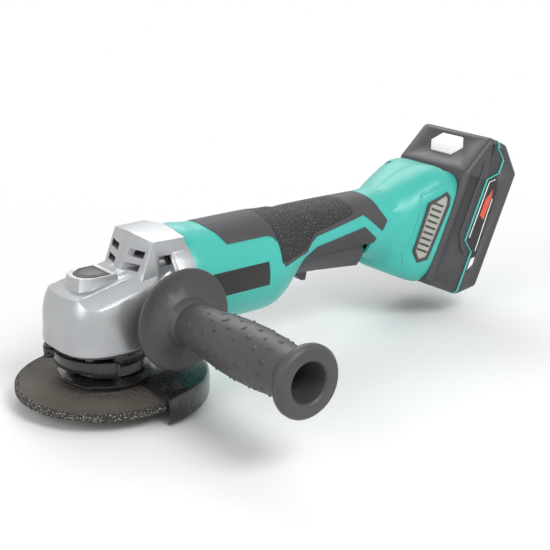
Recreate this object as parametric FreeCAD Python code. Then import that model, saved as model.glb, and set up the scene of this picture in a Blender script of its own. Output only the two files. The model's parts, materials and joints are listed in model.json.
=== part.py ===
"""Cordless angle grinder with a paddle switch, a side handle and a slide-on battery, in millimetres.

Row frame: the origin is on the spindle axis at the wheel seat, the lower face of the inner flange.
+Z runs up the spindle, +X runs back along the motor axis to the battery, and the side handle points to -Y.
The battery and the foot that carries it lean back. They are made upright, with x outwards along the
normal of the mounting face and z up the slide, and then turned about the Y axis through the origin.
"""

import FreeCAD
import Part
import math
import os

V = FreeCAD.Vector
X_AXIS, Y_AXIS, Z_AXIS = V(1, 0, 0), V(0, 1, 0), V(0, 0, 1)
FAR = 400.0                      # reach of a cutting block, past everything
GAP = 0.4                        # clearance between moving pieces
FIT = 0.05                       # radial clearance of a shaft in its hole
SEAT = 0.03                      # clearance of a fixed piece against the inside of the housing
SKIM = 0.1                       # how far a cutting tool runs past the face that it cuts

# wheel, flanges and spindle
wheel_r = 62.5
wheel_t = 5.0
wheel_drop = 3.0                 # depth of the depressed centre
wheel_hub_r = 24.0
wheel_slope_r = 31.0
wheel_bore_r = 11.1
spindle_r = 7.0                  # M14 nose
spindle_nose = 12.5              # spindle length below the wheel seat
flange_r = 19.0
flange_t = 5.0
flange_pilot = 1.6
nut_t = 4.5
nut_hole_pcd = 29.0
nut_hole_r = 2.5

# motor line and gears
axis_z = 56.0                    # height of the motor axis over the wheel seat
pinion_teeth = 11
crown_teeth = 39
cone_length = 23.0               # outer cone distance of the bevel pair
face_width = 7.5
tooth_height = 1.4
tooth_share = 0.36               # tooth width as a share of the pitch
crown_t = 8.0                    # height of the crown gear under its teeth
seat_r = 6.0                     # spindle radius in the bearing and the crown gear
bush_shaft_r = 4.0
bush_r = 6.5
bearing_r, bearing_w = 16.0, 10.0  # spindle bearing
crown_rim_r = 12.0               # inner radius of the toothed rim of the crown gear
lock_x = -10.5                   # lock pin and button
lock_pin_r = 2.6

# bearing box, guard and clamp
collar_r = 22.0
collar_low = 10.0
bearing_low = 13.0
box_low = 23.5                   # underside of the bearing box flange
box_top = 30.0                   # joint of the bearing box and the gear case
box_half_x, box_half_y = 39.5, 36.5
box_screw_x, box_screw_y = 26.5, 24.5
box_screw_head_r, box_screw_head_h = 3.5, 3.0
guard_r = 68.0
guard_t = 2.0
guard_top = 2.8
guard_low = -17.0
guard_lip = 3.0
guard_step_r = 30.0              # where the guard plate steps up towards the collar
guard_neck_t = 2.2
band_low, band_top = 13.4, 21.9
band_t = 2.2
lever_pin_at = 38.0              # lever pin: distance from the spindle, and bearing angle
lever_pin_angle = 146.0
lever_end_angle = 252.0
lever_mid_r = 34.3
lever_t = 3.6
lever_low, lever_top = 11.0, 20.6

# gear case
roof_x, roof_z, roof_slope = -25.0, 64.0, 11.0
case_wall = 3.2
joint_x = 50.0                   # joint of the gear case and the housing
joint_r = 37.6
ear_x = 35.5                     # front of the screw ears
screw_at = 32.0                  # gear case screws, distance from the motor axis
boss_top = 72.7
case_screw_r = 2.0
case_screw_head_r = 3.6
handle_boss_r = 13.0
handle_thread_depth = 14.0

# side handle
handle_x, handle_z = 28.7, 46.0
handle_seat = 39.0               # |Y| of the handle boss face
hand_guard_y = 50.6
hand_guard_r = 34.6
handle_end = 179.5
handle_end_r = 22.9
handle_hole_r = 12.7
stud_r = 5.0
stud_shelf = 118.0               # where the head of the stud sits, inside the handle
core_r = 13.0                    # tube of the core under the soft sleeve
sleeve_from, sleeve_to = 62.0, 165.0
socket_r = 4.25

# motor
shaft_r = 4.0
pinion_bore_r = 2.0
stator_r = 26.0
stator_bore = 14.0
rotor_r = 13.4
magnet_t = 2.0
stator_x0, stator_x1 = 68.0, 94.0
winding_over = 3.6
fan_x0, fan_x1 = 53.0, 62.0
fan_r = 27.0
small_bearing_r, small_bearing_w = 11.0, 7.0
front_bearing_x, rear_bearing_x = 38.0, 105.0

# housing skin
wall = 2.6
pad_t = 1.6                      # depth of the soft overmould
pad_proud = 0.35
seam_x = 121.0                   # rear end of the barrel
barrel_r = 36.0
grip_top, grip_low = 89.7, 46.7
grip_half_w = 25.5
lean = 25.0                      # lean of the foot and battery, degrees
foot_face = 226.4                # mounting face, along the leaning normal
foot_low, foot_high = 123.3, 213.7
foot_half_w = 36.0
mount_depth = 13.4
screw_hole_r = 1.6
screw_head_r = 3.0
post_r = 3.9                     # screw posts inside the housing

# paddle switch
paddle_x, paddle_z = 147.0, 53.0
paddle_half_w = 19.4
paddle_wall = 2.2
paddle_top = 56.2
lockoff_x, lockoff_z = 160.0, 47.0
pin_r = 1.5
lockoff_pin_r = 1.2

# battery
pack_low, pack_high = 125.8, 248.8
pack_back = 283.4
pack_half_w = 38.0
pack_wall = 2.4
cell_r, cell_l = 9.2, 65.0
cell_pitch = 19.4
rail_depth = 10.2
rail_half_w = 24.2
rail_neck_half_w = 20.2
rail_lip = 4.2
rail_u0, rail_u1 = 139.0, 205.0
blade_t = 0.8
terminal_half_w = 18.0
terminal_depth = 7.0             # height of the terminal block along the slide
button_well = 6.6
button_room = 3.4                # room for the release button to be pressed


# ---------------------------------------------------------------- helpers

def rad(a):
    return math.radians(a)


def cyl(r, h, base, axis=Z_AXIS):
    return Part.makeCylinder(r, h, V(*base), axis)


def ring(r_out, r_in, h, base, axis=Z_AXIS):
    start = V(*base) - V(axis) * SKIM
    return cyl(r_out, h, base, axis).cut(Part.makeCylinder(r_in, h + 2 * SKIM, start, axis))


def block(x0, x1, y0, y1, z0, z1):
    return Part.makeBox(x1 - x0, y1 - y0, z1 - z0, V(x0, y0, z0))


def lathe(points, axis=Z_AXIS, centre=(0, 0, 0)):
    """Solid of revolution. points are (radius, height along the axis)."""
    face = Part.Face(Part.makePolygon([V(r, 0, h) for r, h in points + points[:1]]))
    solid = face.revolve(V(0, 0, 0), Z_AXIS, 360)
    solid.Placement = FreeCAD.Placement(V(*centre), FreeCAD.Rotation(Z_AXIS, axis))
    return solid


def side_prism(points, y0, y1):
    """Prism of a side-view outline of (x, z) points, from y0 to y1."""
    face = Part.Face(Part.makePolygon([V(x, y0, z) for x, z in points + points[:1]]))
    return face.extrude(V(0, y1 - y0, 0))


def plan_prism(points, z0, z1):
    face = Part.Face(Part.makePolygon([V(x, y, z0) for x, y in points + points[:1]]))
    return face.extrude(V(0, 0, z1 - z0))


def fuse(shapes):
    return shapes[0].multiFuse(shapes[1:]).removeSplitter() if len(shapes) > 1 else shapes[0]


def cut(shape, tools):
    return shape.cut(Part.Compound(tools))


def turned(shape, angle, axis=Z_AXIS, centre=(0, 0, 0)):
    moved = shape.copy()
    moved.rotate(V(*centre), axis, angle)
    return moved


def leaned(shape):
    """From the upright frame of the battery to the row frame."""
    return turned(shape, lean, Y_AXIS)


def half(shape, side):
    """The part of shape on one side of the middle plane: side is -1 for left (-Y) and 1 for right."""
    low, high = (-FAR, 0) if side < 0 else (0, FAR)
    return shape.common(block(-FAR, FAR, low, high, -FAR, FAR))


def inset(points, d):
    """Convex polygon moved inwards by d."""
    area = sum(a[0] * b[1] - b[0] * a[1] for a, b in zip(points, points[1:] + points[:1]))
    turn = 1 if area > 0 else -1
    lines = []
    for a, b in zip(points, points[1:] + points[:1]):
        dx, dz = b[0] - a[0], b[1] - a[1]
        length = math.hypot(dx, dz)
        nx, nz = -dz / length * turn, dx / length * turn
        lines.append((nx, nz, nx * (a[0] + nx * d) + nz * (a[1] + nz * d)))
    corners = []
    for (a1, b1, c1), (a2, b2, c2) in zip(lines[-1:] + lines[:-1], lines):
        det = a1 * b2 - a2 * b1
        corners.append(((c1 * b2 - c2 * b1) / det, (a1 * c2 - a2 * c1) / det))
    return corners


def oval(cx, cz, tilt, half_w, half_h, power, grow=0.0, count=24):
    """Closed superellipse wire across the motor line, centred on (cx, cz) and leaning back by tilt."""
    s, c = math.sin(rad(tilt)), math.cos(rad(tilt))
    points = []
    for k in range(count):
        ct, st = math.cos(2 * math.pi * k / count), math.sin(2 * math.pi * k / count)
        w = (half_w + grow) * math.copysign(abs(ct) ** (2 / power), ct)
        h = (half_h + grow) * math.copysign(abs(st) ** (2 / power), st)
        points.append(V(cx + h * s, w, cz + h * c))
    curve = Part.BSplineCurve()
    curve.interpolate(Points=points, PeriodicFlag=True)
    return Part.Wire([curve.toShape()])


def level_oval(z, x0, x1, half_w, power, grow=0.0, count=24):
    """Closed superellipse wire in a level plane, from x0 to x1."""
    points = []
    for k in range(count):
        ct, st = math.cos(2 * math.pi * k / count), math.sin(2 * math.pi * k / count)
        points.append(V((x0 + x1) / 2 + ((x1 - x0) / 2 + grow) * math.copysign(abs(ct) ** (2 / power), ct),
                        (half_w + grow) * math.copysign(abs(st) ** (2 / power), st), z))
    curve = Part.BSplineCurve()
    curve.interpolate(Points=points, PeriodicFlag=True)
    return Part.Wire([curve.toShape()])


def lean_point(n, u):
    """Row-frame (x, z) of a point n along the leaning normal and u up the slide."""
    s, c = math.sin(rad(lean)), math.cos(rad(lean))
    return (u * s + n * c, u * c - n * s)


def coil(r, wire_r, height, turns, base, axis=Z_AXIS):
    """Open coil spring of round wire, standing on base."""
    helix = Part.makeHelix(height / turns, height, r)
    start = Part.Wire([Part.makeCircle(wire_r, V(r, 0, 0), Y_AXIS)])
    body = Part.Wire(helix.Edges).makePipeShell([start], True, True)
    body.Placement = FreeCAD.Placement(V(*base), FreeCAD.Rotation(Z_AXIS, axis))
    return body


def around(count, r, z=0.0, start=0.0):
    """Points on a circle round the spindle axis."""
    return [(r * math.cos(rad(start + 360.0 * k / count)), r * math.sin(rad(start + 360.0 * k / count)), z)
            for k in range(count)]


# ---------------------------------------------------------------- wheel and spindle

def make_wheel():
    low = -wheel_drop
    return lathe([
        (wheel_bore_r, 0), (wheel_hub_r, 0), (wheel_slope_r, low), (wheel_r - 0.6, low), (wheel_r, low - 0.6),
        (wheel_r, low - wheel_t + 0.6), (wheel_r - 0.6, low - wheel_t), (wheel_slope_r - 2, low - wheel_t),
        (wheel_hub_r - 2, -wheel_t), (wheel_bore_r, -wheel_t),
    ])


def make_inner_flange():
    return lathe([
        (spindle_r + FIT, -flange_pilot), (wheel_bore_r - FIT, -flange_pilot), (wheel_bore_r - FIT, 0),
        (flange_r, 0), (flange_r, flange_t - 1), (flange_r - 1, flange_t), (spindle_r + FIT, flange_t),
    ])


def make_clamp_nut():
    top = -wheel_t
    pilot = 2.2
    body = lathe([
        (spindle_r + FIT, top - nut_t), (flange_r - 1, top - nut_t), (flange_r, top - nut_t + 1),
        (flange_r, top), (wheel_bore_r - FIT, top), (wheel_bore_r - FIT, top + pilot),
        (spindle_r + FIT, top + pilot),
    ])
    return cut(body, [cyl(nut_hole_r, nut_t - 1, (x, y, top - nut_t - SKIM))
                      for x, y, z in around(4, nut_hole_pcd / 2, start=45)])


def crown_base():
    """Underside of the crown gear."""
    return axis_z - cone_length * math.sin(rad(pitch_angle())) - crown_t


def bush_base():
    return axis_z + 3.0


def bush_top():
    return roof_z + (0 - roof_x) * math.tan(rad(roof_slope)) - case_wall


def make_spindle():
    shoulder = crown_base() + crown_t + 2
    return lathe([
        (0, -spindle_nose), (spindle_r - 1, -spindle_nose), (spindle_r, -spindle_nose + 1),
        (spindle_r, flange_t), (seat_r + 2.5, flange_t), (seat_r + 2.5, bearing_low - GAP),
        (seat_r, bearing_low - GAP), (seat_r, shoulder), (bush_shaft_r, shoulder),
        (bush_shaft_r, bush_top() - 1), (0, bush_top() - 1),
    ])


def make_spindle_spacer():
    low = bearing_low + bearing_w + GAP
    return ring(seat_r + 2.6, seat_r + FIT, crown_base() - low, (0, 0, low))


def pitch_angle():
    """Half angle of the pinion's pitch cone; the crown gear has the rest of the right angle."""
    return math.degrees(math.atan2(pinion_teeth, crown_teeth))


def bevel_gear(teeth, cone_deg, inner_r, back, phase):
    """Straight bevel gear with its apex at the origin and its back towards +Z."""
    delta = rad(cone_deg)
    inner, outer = cone_length - face_width, cone_length
    root = tooth_height * 1.2

    def spot(d, h):
        return (d * math.sin(delta) + h * math.cos(delta), d * math.cos(delta) - h * math.sin(delta))

    low = spot(inner, -root * inner / outer)
    high = spot(outer, -root)
    body = lathe([(inner_r, low[1]), low, high, (high[0], back), (inner_r, back)])
    pitch = 2 * math.pi * outer * math.sin(delta) / teeth
    tip, base = pitch * tooth_share * 0.30, pitch * tooth_share * 0.72

    def tooth_wire(d):
        k = d / outer
        corners = []
        for w, h in [(-base, -root - 0.15), (base, -root - 0.15), (tip, tooth_height), (-tip, tooth_height)]:
            r, z = spot(d, h * k)
            corners.append(V(r, w * k, z))
        return Part.makePolygon(corners + corners[:1])

    tooth = Part.makeLoft([tooth_wire(inner), tooth_wire(outer)], True, True)
    return body.multiFuse([turned(tooth, phase + 360.0 * k / teeth) for k in range(teeth)])


def make_crown_gear():
    """Bevel gear under the motor axis, teeth up, with blind lock holes in its web."""
    base = crown_base()
    gear = bevel_gear(crown_teeth, 90 - pitch_angle(), crown_rim_r, axis_z - base, 180.0 / crown_teeth)
    gear = turned(gear, 180, X_AXIS)
    gear.translate(V(0, 0, axis_z))
    web = ring(14.6, seat_r + FIT, crown_t - 1.0, (0, 0, base))
    hub = ring(9.4 - lock_pin_r + 1.0, seat_r + FIT, crown_t + 0.6, (0, 0, base))
    gear = gear.multiFuse([web, hub])
    return cut(gear, [cyl(lock_pin_r + GAP, crown_t, (x, y, base + 1.5)) for x, y, z in around(4, -lock_x)])


def make_pinion():
    shank = 6.0
    gear = bevel_gear(pinion_teeth, pitch_angle(), pinion_bore_r + FIT, cone_length + 1.0, 0.0)
    gear = turned(gear, 90, Y_AXIS)
    gear.translate(V(0, 0, axis_z))
    return gear.fuse(ring(4.6, pinion_bore_r + FIT, shank, (cone_length + 1.0, 0, axis_z), X_AXIS))


def bearing(bore_r, outer_r, width, base, axis):
    """Ball bearing as a group: two races and their balls."""
    race = (outer_r - bore_r) * 0.28
    middle = (bore_r + outer_r) / 2
    centre = V(*base) + V(axis) * (width / 2)
    side = X_AXIS if abs(axis.z) > 0.5 else Y_AXIS
    shapes = [ring(bore_r + race, bore_r + FIT, width, base, axis),
              ring(outer_r, outer_r - race, width, base, axis)]
    for k in range(8):
        spot = FreeCAD.Rotation(axis, 45.0 * k).multVec(V(side) * middle) + centre
        shapes.append(Part.makeSphere((outer_r - bore_r) / 2 - race, spot))
    return Part.Compound(shapes)


# ---------------------------------------------------------------- bearing box and gear case

def box_screw_spots():
    return [(sx * box_screw_x, sy * box_screw_y) for sx in (-1, 1) for sy in (-1, 1)]


def make_bearing_box():
    """Lower cover of the head: flange, collar for the guard and seat of the spindle bearing."""
    power = 2.9
    flange = Part.makeLoft([
        level_oval(box_low, 4.5 - box_half_x, box_half_x - 4.5, box_half_y - 4.5, power),
        level_oval(box_low + 3.5, -box_half_x, box_half_x, box_half_y, power),
        level_oval(box_top, -box_half_x, box_half_x, box_half_y, power)], True, True)
    flange = flange.fuse(cyl(collar_r, box_low - collar_low + 1, (0, 0, collar_low)))
    tools = [
        cyl(seat_r + 5.0, 30, (0, 0, collar_low - 1)),
        cyl(bearing_r, 30, (0, 0, bearing_low)),
        cyl(24.0, 30, (0, 0, box_low + 3.5)),
        block(ear_x, FAR, -FAR, FAR, 0, FAR),
    ]
    for x, y in box_screw_spots():
        tools.append(cyl(case_screw_r, 40, (x, y, box_low - 5)))
        tools.append(cyl(box_screw_head_r + GAP, box_screw_head_h + SKIM, (x, y, box_low - SKIM)))
    return cut(flange, tools)


def make_bearing_box_screws():
    shapes = []
    for x, y in box_screw_spots():
        head = cyl(box_screw_head_r, box_screw_head_h, (x, y, box_low))
        socket = cyl(1.6, 1.6 + SKIM, (x, y, box_low - SKIM))
        shank = cyl(case_screw_r, 14.0, (x, y, box_low + box_screw_head_h))
        shapes.append(head.cut(socket).fuse(shank))
    return Part.Compound(shapes)


def head_form(shrink=0.0):
    """Front of the gear case: a form that tapers upwards, cut by the sloping roof with its side bevels."""
    levels = [
        (box_top, -39.5, 39.5, 36.5, 2.9), (box_top + 12, -38.8, 39.5, 35.8, 2.9),
        (box_top + 26, -36.6, 39.0, 33.4, 3.0), (box_top + 36, -31.5, 38.0, 29.0, 3.2),
        (box_top + 46, -24.5, 37.0, 23.5, 3.4),
    ]
    rings = [level_oval(z, x0, x1, w, p, grow=-shrink) for z, x0, x1, w, p in levels]
    form = Part.makeLoft(rings, True, False)
    flat, bevel = 19.5, 9.0
    edge = [(-60, 0), (60, 0), (60, roof_z - shrink - bevel), (flat + bevel, roof_z - shrink - bevel * 0.75),
            (flat - shrink * 0.4, roof_z - shrink), (-flat + shrink * 0.4, roof_z - shrink),
            (-flat - bevel, roof_z - shrink - bevel * 0.75), (-60, roof_z - shrink - bevel)]
    face = Part.Face(Part.makePolygon([V(-90, y, z) for y, z in edge + edge[:1]]))
    roof = turned(face.extrude(V(180, 0, 0)), -roof_slope, Y_AXIS, (roof_x, 0, roof_z))
    return form.common(roof)


def neck_form(shrink=0.0):
    return Part.makeLoft([
        oval(4.0, 52.0, 0, 23.0, 19.0, 2.6, grow=-shrink),
        oval(20.0, 54.0, 0, 26.0, 23.0, 2.5, grow=-shrink),
        oval(ear_x, axis_z, 0, 29.0, 27.5, 2.3, grow=-shrink),
        oval(joint_x - shrink * 0.8, axis_z, 0, 33.0, 33.0, 2.1, grow=-shrink),
    ], True, False)


def hood_form(shrink=0.0):
    """Air outlet above the roof: two front facets that meet on the middle plane, under a ridged top."""
    def outline(z, nose, back, half_w, step):
        n, w = nose + shrink * 1.15, half_w - shrink
        return [V(n, 0, z), V(n + step, -w, z), V(back, -w - 1.5, z), V(back, w + 1.5, z), V(n + step, w, z)]

    low = outline(66.0, 5.5, joint_x - 3, 24.5, 8.0)
    high = outline(95.5, 19.5, joint_x - 3, 23.5, 5.0)
    form = Part.makeLoft([Part.makePolygon(w + w[:1]) for w in (low, high)], True, True)
    top, fall = 95.5 - shrink, 3.2
    edge = [(-60, 0), (60, 0), (60, top - fall * 2.4), (0, top), (-60, top - fall * 2.4)]
    face = Part.Face(Part.makePolygon([V(-90, y, z) for y, z in edge + edge[:1]]))
    return form.common(face.extrude(V(180, 0, 0)))


def ear_angles():
    return (45, 135, 225, 315)


def ear_spot(x, angle, at=screw_at):
    return (x, at * math.cos(rad(angle)), axis_z + at * math.sin(rad(angle)))


def button_boss(shrink=0.0):
    """Raised seat of the lock button: round in front, straight behind."""
    x0, x1, w = -26.5, 3.5, 14.5
    points = [(x1, -w), (x1, w), (x0 + 9, w), (x0 + 2.5, w - 5), (x0, 0), (x0 + 2.5, -w + 5), (x0 + 9, -w)]
    low = inset(points, -1.5 + shrink)
    high = inset(points, 1.5 + shrink)
    wires = [Part.makePolygon([V(x, y, z) for x, y in p + p[:1]])
             for p, z in ((low, roof_z - 6), (high, boss_top))]
    return Part.makeLoft(wires, True, True)


def gear_case_form():
    ears = lathe([(0, ear_x), (joint_r - 2.2, ear_x), (joint_r - 0.6, ear_x + 2), (joint_r, joint_x - 4),
                  (joint_r, joint_x), (0, joint_x)], X_AXIS, (0, 0, axis_z))
    boss = cyl(handle_boss_r, 2 * handle_seat, (handle_x, -handle_seat, handle_z), Y_AXIS)
    return fuse([head_form(), neck_form(), hood_form(), ears, button_boss(), boss])


def button_outline(grow=0.0):
    """Plan of the lock button: straight behind, round in front."""
    x0, x1, w = lock_x - 10.5, lock_x + 9.0, 11.0
    points = [(x1, -w), (x1, w), (x0 + 8, w), (x0 + 2.6, w - 3.6), (x0, 3.2), (x0, -3.2), (x0 + 2.6, 3.6 - w),
              (x0 + 8, -w)]
    return inset(points, -grow)


def vent_slots():
    """Four outlet slots through the hood facets, two on each side of the middle."""
    tools = []
    for side in (-1, 1):
        for z in (75.0, 83.5):
            slot = block(0, 34, 5.0, 17.0, z - 2.2, z + 2.2)
            slot = turned(slot, 18.0, Z_AXIS, (12, 0, z))
            tools.append(slot if side > 0 else slot.mirror(V(0, 0, 0), Y_AXIS))
    return tools


def make_gear_case():
    shell = gear_case_form()
    gears = cyl(27.5, bush_top() - 10.5 - box_top + SKIM, (0, 0, box_top - SKIM))
    tools = [
        block(-FAR, ear_x, -FAR, FAR, -FAR, box_top),
        gears.common(head_form(case_wall)),
        cyl(15.5, bush_base() + 0.5 - box_top, (0, 0, box_top)),
        cyl(8.6, front_bearing_x - 4, (4, 0, axis_z), X_AXIS),
        cyl(small_bearing_r, joint_x - front_bearing_x + SKIM, (front_bearing_x, 0, axis_z), X_AXIS),
        cyl(bush_r, bush_top() - bush_base() + SKIM, (0, 0, bush_base() - SKIM)),
        cyl(lock_pin_r + FIT, 40, (lock_x, 0, crown_base() + crown_t)),
        plan_prism(button_outline(GAP), boss_top - 7.0, boss_top + 5),
        cyl(stud_r + FIT, handle_thread_depth, (handle_x, -handle_seat - SKIM, handle_z), Y_AXIS),
        cyl(socket_r, handle_thread_depth, (handle_x, handle_seat + SKIM, handle_z), -Y_AXIS),
    ]
    for x, y in box_screw_spots():
        tools.append(cyl(case_screw_r, 12.0, (x, y, box_top - SKIM)))
    air = ring(31.0, 17.0, joint_x - ear_x - 3, (ear_x + 3, 0, axis_z), X_AXIS)
    hood = hood_form(case_wall).cut(neck_form(-0.5)).cut(head_form(-0.5))
    posts = [cyl(5.0, 30, ear_spot(ear_x - 5, a), X_AXIS) for a in ear_angles()]
    tools.append(air.cut(Part.Compound(posts)))
    tools.append(hood.cut(Part.Compound(posts)))
    tools.append(block(ear_x + 3, joint_x + 1, -17, 17, axis_z + 20, axis_z + 32))
    tools += vent_slots()
    for a in ear_angles():
        tools.append(cyl(case_screw_r + 0.2, 40, ear_spot(ear_x - 5, a), X_AXIS))
        tools.append(cyl(case_screw_head_r + 0.5, 8 + case_screw_head_r, ear_spot(ear_x - 8, a), X_AXIS))
    return cut(shell, tools)


def make_gear_case_screws():
    """Socket screws through the ears into the housing."""
    shapes = []
    for a in ear_angles():
        head = cyl(case_screw_head_r, case_screw_head_r, ear_spot(ear_x, a), X_AXIS)
        hexagon = [V(ear_x - SKIM, *ear_spot(0, a)[1:]) + V(0, 1.7 * math.cos(rad(60 * k)),
                                                            1.7 * math.sin(rad(60 * k))) for k in range(6)]
        tool = Part.Face(Part.makePolygon(hexagon + hexagon[:1])).extrude(V(2.2, 0, 0))
        shank = cyl(case_screw_r, 22.0, ear_spot(ear_x + case_screw_head_r, a), X_AXIS)
        shapes.append(head.cut(tool).fuse(shank))
    return Part.Compound(shapes)


def make_bush():
    return ring(bush_r, bush_shaft_r + FIT, bush_top() - bush_base() - 1.5, (0, 0, bush_base()))


def make_lock_button():
    """Push button with the lock pin in one piece."""
    low = crown_base() + crown_t + 1.4
    cap = plan_prism(button_outline(), boss_top - 2.4, boss_top + 0.6)
    return fuse([cap, cyl(lock_pin_r, boss_top - 2.0 - low, (lock_x, 0, low))])


def make_lock_spring():
    return coil(6.0, 0.5, 3.4, 2, (lock_x, 0, boss_top - 6.5))


# ---------------------------------------------------------------- guard and clamp lever

def make_guard():
    neck_r = collar_r + GAP
    step = guard_step_r
    low = guard_top - guard_t
    profile = [
        (neck_r, low + 3.2), (step - 3, low + 3.2), (step + 1, low), (guard_r - 4, low),
        (guard_r - guard_t - 0.6, low - 0.8), (guard_r - guard_t, low - 3),
        (guard_r - guard_t, guard_low + 3), (guard_r - guard_lip - 1, guard_low + 1.5),
        (guard_r - guard_lip, guard_low), (guard_r - 0.5, guard_low + 2.5), (guard_r, guard_low + 4.5),
        (guard_r, guard_top - 4), (guard_r - 1.2, guard_top - 1.2), (guard_r - 4, guard_top),
        (step + 1.5, guard_top), (step - 2, guard_top + 3.2), (neck_r + guard_neck_t, guard_top + 3.2),
        (neck_r + guard_neck_t, band_top), (neck_r, band_top),
    ]
    body = lathe(profile)
    past = guard_r + 9
    front = plan_prism([(4, -past), (10, -25), (-8, -29), (-28, -20), (-34, 0), (-28, 20), (-8, 29), (10, 25),
                        (4, past), (-past, past), (-past, -past)], guard_low - 5, guard_top + 3.0)
    front = front.cut(cyl(guard_step_r + 2, 40, (0, 0, guard_low - 10)))
    return body.cut(front)


def band_inner():
    return collar_r + GAP + guard_neck_t


def lever_pin_spot():
    return (lever_pin_at * math.cos(rad(lever_pin_angle)), lever_pin_at * math.sin(rad(lever_pin_angle)))


def make_guard_band():
    """Clamp band round the guard's neck with two lugs for the lever pin."""
    body = ring(band_inner() + band_t, band_inner(), band_top - band_low, (0, 0, band_low))
    lugs = []
    for z0, z1 in ((band_low, band_low + 2.0), (band_top - 2.0, band_top)):
        lug = block(band_inner() + 0.5, lever_pin_at + 4.2, -4.2, 4.2, z0, z1)
        lug = lug.common(cyl(lever_pin_at + 4.2, 60, (0, 0, 0)))
        lugs.append(turned(lug, lever_pin_angle))
    x, y = lever_pin_spot()
    return fuse([body] + lugs).cut(cyl(pin_r + 0.5 + FIT, 60, (x, y, 0)))


def make_clamp_pin():
    x, y = lever_pin_spot()
    return lathe([(0, band_low - 1.2), (3.2, band_low - 1.2), (3.2, band_low), (pin_r + 0.5, band_low),
                  (pin_r + 0.5, band_top), (3.2, band_top), (2.6, band_top + 1.0), (0, band_top + 1.0)],
                 Z_AXIS, (x, y, 0))


def lever_arc(a0, a1, r_in, r_out, z0, z1, count=10):
    angles = [a0 + (a1 - a0) * k / count for k in range(count + 1)]
    points = [(r_out * math.cos(rad(a)), r_out * math.sin(rad(a))) for a in angles]
    points += [(r_in * math.cos(rad(a)), r_in * math.sin(rad(a))) for a in reversed(angles)]
    return plan_prism(points, z0, z1)


def make_clamp_lever():
    """Quick-release lever round the front of the guard band."""
    x, y = lever_pin_spot()
    r_in, r_out = lever_mid_r - lever_t / 2, lever_mid_r + lever_t / 2
    z0, z1 = band_low + 2.0 + GAP, band_top - 2.0 - GAP
    knuckle = cyl(4.6, z1 - z0, (x, y, z0))
    arm = lever_arc(lever_pin_angle + 3, lever_pin_angle + 14, r_in, r_out + 1.6, z0, z1)
    end, low = lever_end_angle, lever_low - 0.5
    bow = lever_arc(lever_pin_angle + 12, end - 27, r_in, r_out, low + 2.0, lever_top)
    tab = lever_arc(end - 28, end, r_in + 0.4, r_out - 0.2, low, lever_top)
    lip = lever_arc(end - 2.5, end, r_in + 0.4, r_out + 2.4, low, lever_top)
    body = fuse([knuckle, arm, bow, tab, lip])
    return body.cut(cyl(pin_r + 0.5 + FIT, 60, (x, y, 0)))


# ---------------------------------------------------------------- side handle

def handle_lathe(points):
    """Body round the handle axis: points are (radius, distance from the middle plane towards -Y)."""
    return lathe(points, V(0, -1, 0), (handle_x, 0, handle_z))


def sleeve_profile():
    return [(14.6, sleeve_from), (14.9, 72.0), (16.6, 90.0), (18.2, 108.0), (18.6, 125.0), (17.9, 142.0),
            (16.4, 158.0), (16.2, sleeve_to)]


def make_handle_core():
    """Hard core of the side handle: collar, hand guard, tube and flared end."""
    g, e = hand_guard_y, handle_end
    (sleeve_r0, _), (sleeve_r1, _) = sleeve_profile()[0], sleeve_profile()[-1]
    collar = [(stud_r + FIT, handle_seat), (11.5, handle_seat), (12.5, handle_seat + 1), (12.5, g - 4.5)]
    hand_guard = [(20.0, g - 3.6), (hand_guard_r - 4, g - 1.9), (hand_guard_r - 0.8, g - 1.2),
                  (hand_guard_r, g), (hand_guard_r - 0.8, g + 1.1), (hand_guard_r - 5, g + 0.9),
                  (22.0, g + 2.0), (17.0, g + 5.5)]
    tube = [(sleeve_r0, sleeve_from), (core_r, sleeve_from), (core_r, sleeve_to), (sleeve_r1, sleeve_to)]
    flare = [(18.5, e - 10.5), (handle_end_r - 0.6, e - 6.5), (handle_end_r, e - 5.0), (handle_end_r, e - 2.2),
             (handle_end_r - 2.0, e)]
    hollow = [(handle_hole_r + 1.2, e), (handle_hole_r, e - 1.2), (handle_hole_r - 2.2, e - 14.0),
              (9.8, e - 16), (9.8, stud_shelf), (stud_r + FIT, stud_shelf)]
    return handle_lathe(collar + hand_guard + tube + flare + hollow)


def nub_spots():
    """Places of the small raised nubs on the soft sleeve: distance along the handle and angle."""
    rows, per_row, first, pitch = 9, 12, 76.0, 9.6
    return [(first + pitch * k, 360.0 / per_row * (m + 0.5 * (k % 2)))
            for k in range(rows) for m in range(per_row)]


def make_handle_sleeve():
    """Soft sleeve with rows of small nubs, moulded on the core."""
    profile = sleeve_profile()
    body = handle_lathe(profile + [(core_r, sleeve_to), (core_r, sleeve_from)])
    nubs = []
    for s, a in nub_spots():
        for (r0, s0), (r1, s1) in zip(profile, profile[1:]):
            if s0 <= s <= s1:
                r = r0 + (r1 - r0) * (s - s0) / (s1 - s0)
        spot = (handle_x + (r - 0.9) * math.cos(rad(a)), -s, handle_z + (r - 0.9) * math.sin(rad(a)))
        nubs.append(cyl(0.8, 1.4, spot, V(math.cos(rad(a)), 0, math.sin(rad(a)))))
    return body.multiFuse(nubs)


def make_handle_stud():
    tip = handle_seat - 12.0
    return handle_lathe([(0, tip), (stud_r - 0.8, tip), (stud_r, tip + 0.8), (stud_r, stud_shelf),
                         (8.0, stud_shelf), (8.0, stud_shelf + 6.0), (0, stud_shelf + 6.0)])


# ---------------------------------------------------------------- motor

def on_axis(x):
    return (x, 0, axis_z)


def make_rotor_shaft():
    step, end = front_bearing_x - 1.5, rear_bearing_x + small_bearing_w + 1.5
    return lathe([(0, 17.0), (pinion_bore_r, 17.0), (pinion_bore_r, step), (shaft_r, step), (shaft_r, end),
                  (0, end)], X_AXIS, (0, 0, axis_z))


def make_rotor_core():
    return ring(rotor_r - magnet_t, shaft_r, stator_x1 - stator_x0, on_axis(stator_x0), X_AXIS)


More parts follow.
